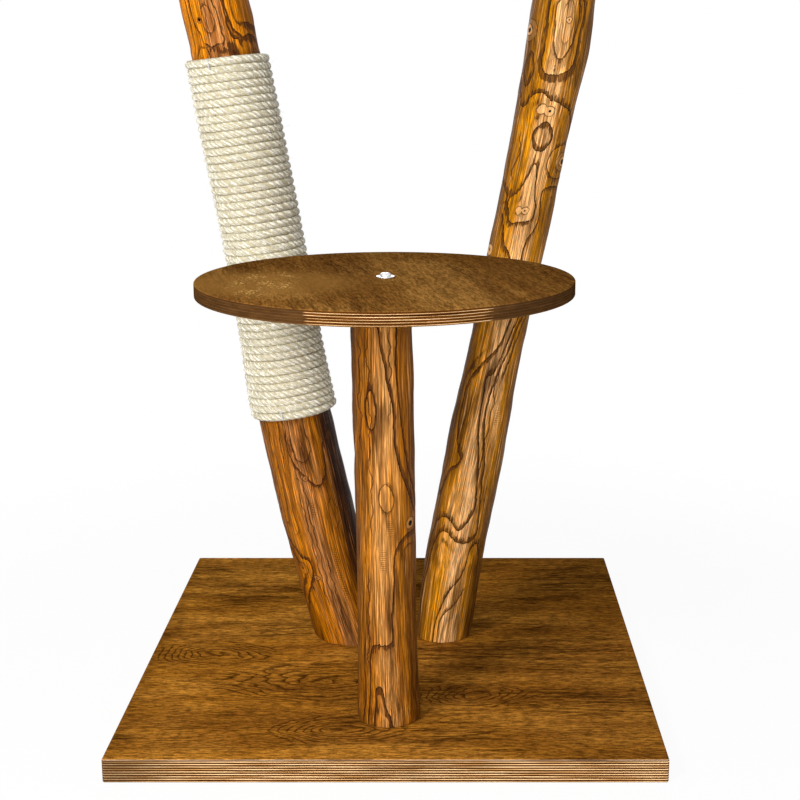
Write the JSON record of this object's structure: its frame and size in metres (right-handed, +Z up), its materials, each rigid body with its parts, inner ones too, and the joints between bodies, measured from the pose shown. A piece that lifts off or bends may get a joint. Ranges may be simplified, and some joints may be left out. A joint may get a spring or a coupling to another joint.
{
  "type": "cat scratching post",
  "caption": "Free-standing cat scratching post: leaning natural log posts, one wound with sisal rope, and a short log carrying a round plywood shelf, on a square plywood base.",
  "frame": {"origin": "centre of the base board's underside", "axes": "+Z up, +X to the right and -Y towards the side that the round shelf is on"},
  "size_m": [0.6, 0.6957, 0.8802],
  "materials": {
    "stained_plywood": "stained brown, satin oil finish, lighter plies showing at the edges",
    "oiled_log": "peeled natural log, scorched and oiled, satin",
    "sisal_rope": "twisted natural fibre, matt",
    "zinc_steel": "bright zinc plated"
  },
  "bodies": {
    "root": {"base_board": "stained_plywood", "shelf_disc": "stained_plywood", "center_post": "oiled_log", "left_post": "oiled_log", "right_post": "oiled_log", "sisal_rope_wrap": "sisal_rope", "rope_staple_top": "zinc_steel", "rope_staple_bottom": "zinc_steel", "shelf_screw": "zinc_steel", "shelf_washer": "zinc_steel", "center_post_coach_screw": "zinc_steel", "center_post_coach_washer": "zinc_steel", "center_post_wood_screw_1": "zinc_steel", "center_post_wood_screw_2": "zinc_steel", "center_post_wood_screw_3": "zinc_steel", "left_post_coach_screw": "zinc_steel", "left_post_coach_washer": "zinc_steel", "left_post_wood_screw_1": "zinc_steel", "left_post_wood_screw_2": "zinc_steel", "left_post_wood_screw_3": "zinc_steel", "right_post_coach_screw": "zinc_steel", "right_post_coach_washer": "zinc_steel", "right_post_wood_screw_1": "zinc_steel", "right_post_wood_screw_2": "zinc_steel", "right_post_wood_screw_3": "zinc_steel"}
  },
  "joints": []
}
